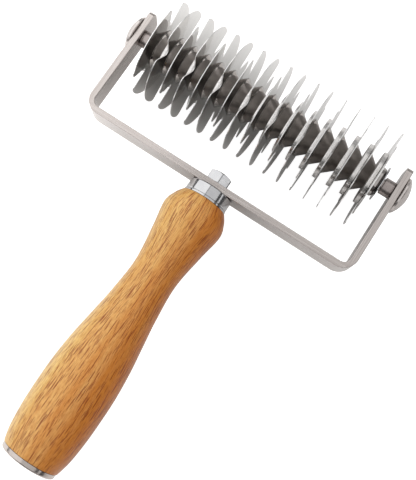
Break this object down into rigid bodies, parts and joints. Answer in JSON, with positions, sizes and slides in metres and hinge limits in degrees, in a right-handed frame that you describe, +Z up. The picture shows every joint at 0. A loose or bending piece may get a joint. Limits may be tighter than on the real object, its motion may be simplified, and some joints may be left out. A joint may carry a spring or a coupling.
{
  "type": "lattice roller cutter",
  "caption": "Hand roller with a row of notched steel blades on an axle in a U-shaped bracket and a turned wooden handle, for cutting a lattice of slits in rolled pastry.",
  "frame": {"origin": "on the table that the tool lies on, under the middle of its bounding box", "axes": "+X along the roller's axle, +Y along the handle from its butt to the roller, +Z up from the table"},
  "size_m": [0.1452, 0.2038, 0.0465],
  "materials": {
    "bracket_steel": "satin, brushed along the bar",
    "axle_steel": "turned",
    "bright_steel": "polished",
    "blade_steel": "polished sheet",
    "hub_steel": "turned, bright rim and dark cone",
    "wood": "clear lacquer over open-grained golden-brown wood"
  },
  "bodies": {
    "frame": {"bracket": "bracket_steel", "axle": "axle_steel", "axle_bush_left": "axle_steel", "axle_bush_right": "axle_steel", "axle_screw_left": "bright_steel", "axle_screw_right": "bright_steel", "web_nut": "bright_steel", "ferrule": "bright_steel", "handle": "wood", "end_cap": "bright_steel", "tie_rod": "axle_steel"},
    "roller": {"roller_sleeve": "axle_steel", "end_washer_left": "bright_steel", "end_washer_right": "bright_steel", "end_hub_left": "hub_steel", "end_hub_right": "hub_steel", "blade_01": "blade_steel", "blade_02": "blade_steel", "blade_03": "blade_steel", "blade_04": "blade_steel", "blade_05": "blade_steel", "blade_06": "blade_steel", "blade_07": "blade_steel", "blade_08": "blade_steel", "blade_09": "blade_steel", "blade_10": "blade_steel", "blade_11": "blade_steel", "blade_12": "blade_steel", "blade_13": "blade_steel", "blade_14": "blade_steel", "blade_15": "blade_steel", "blade_16": "blade_steel", "blade_17": "blade_steel", "hub_01": "hub_steel", "hub_02": "hub_steel", "hub_03": "hub_steel", "hub_04": "hub_steel", "hub_05": "hub_steel", "hub_06": "hub_steel", "hub_07": "hub_steel", "hub_08": "hub_steel", "hub_09": "hub_steel", "hub_10": "hub_steel", "hub_11": "hub_steel", "hub_12": "hub_steel", "hub_13": "hub_steel", "hub_14": "hub_steel", "hub_15": "hub_steel", "hub_16": "hub_steel"}
  },
  "joints": [
    {"name": "roller_spin", "type": "hinge", "parent": "frame", "child": "roller", "pos_m": [0, 0.07858, 0.0233], "axis": [1, 0, 0], "continuous": true}
  ]
}
